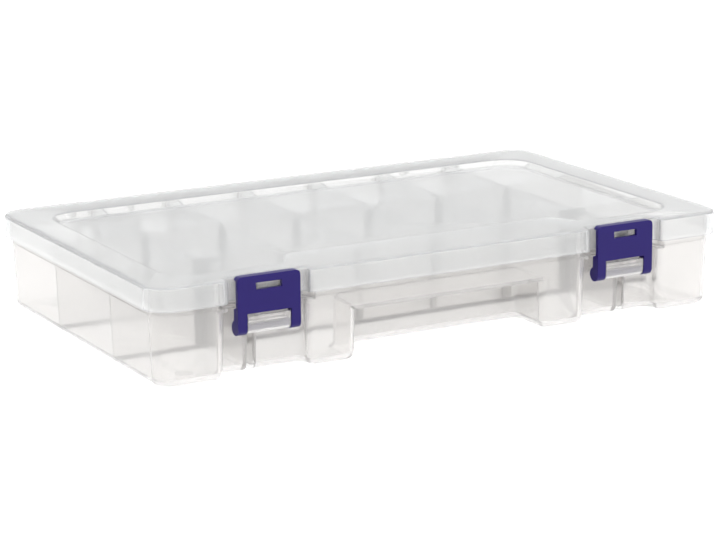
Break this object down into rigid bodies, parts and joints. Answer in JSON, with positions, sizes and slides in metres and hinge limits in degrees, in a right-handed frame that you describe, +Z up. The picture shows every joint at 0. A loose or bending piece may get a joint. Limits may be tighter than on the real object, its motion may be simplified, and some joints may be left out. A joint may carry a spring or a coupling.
{
  "type": "parts organizer",
  "caption": "Flat compartment box in frosted clear plastic with a hinged lid, snap latches, a finger recess and removable dividers.",
  "frame": {"origin": "middle of the flat underside, level with the surface that the box stands on", "axes": "+X along the length to the right, +Y towards the hinges, +Z up; the latches face -Y"},
  "size_m": [0.355, 0.2207, 0.0545],
  "materials": {
    "clear_plastic": "frosted clear moulded polypropylene",
    "lid_plastic": "frosted clear moulded polypropylene, slightly glossier than the tray",
    "divider_plastic": "frosted clear moulded polypropylene",
    "latch_plastic": "opaque violet-blue moulded polypropylene, semi-gloss"
  },
  "bodies": {
    "tray": {"tray_shell": "clear_plastic", "row_wall_front": "clear_plastic", "row_wall_rear": "clear_plastic", "partition_left": "clear_plastic", "partition_right": "clear_plastic", "guide_ribs_middle_front": "clear_plastic", "guide_ribs_middle_rear": "clear_plastic", "guide_ribs_back_front": "clear_plastic", "guide_ribs_back_rear": "clear_plastic", "latch_clip_left": "clear_plastic", "latch_clip_right": "clear_plastic", "hinge_lugs_left": "clear_plastic", "hinge_lugs_right": "clear_plastic", "divider_middle_1": "divider_plastic", "divider_middle_2": "divider_plastic", "divider_middle_3": "divider_plastic", "divider_middle_4": "divider_plastic", "divider_middle_5": "divider_plastic", "divider_middle_6": "divider_plastic", "divider_back_1": "divider_plastic", "divider_back_2": "divider_plastic", "divider_back_3": "divider_plastic", "divider_back_4": "divider_plastic", "divider_back_5": "divider_plastic", "divider_back_6": "divider_plastic"},
    "lid": {"lid": "lid_plastic"},
    "latch_left": {"latch_left": "latch_plastic"},
    "latch_right": {"latch_right": "latch_plastic"}
  },
  "joints": [
    {"name": "lid_hinge", "type": "hinge", "parent": "tray", "child": "lid", "pos_m": [0, 0.1102, 0.044], "axis": [-1, 0, 0], "range_deg": [0, 180]},
    {"name": "latch_left_hinge", "type": "hinge", "parent": "tray", "child": "latch_left", "pos_m": [-0.111, -0.102, 0.0268], "axis": [1, 0, 0], "range_deg": [0, 150]},
    {"name": "latch_right_hinge", "type": "hinge", "parent": "tray", "child": "latch_right", "pos_m": [0.111, -0.102, 0.0268], "axis": [1, 0, 0], "range_deg": [0, 150]}
  ]
}
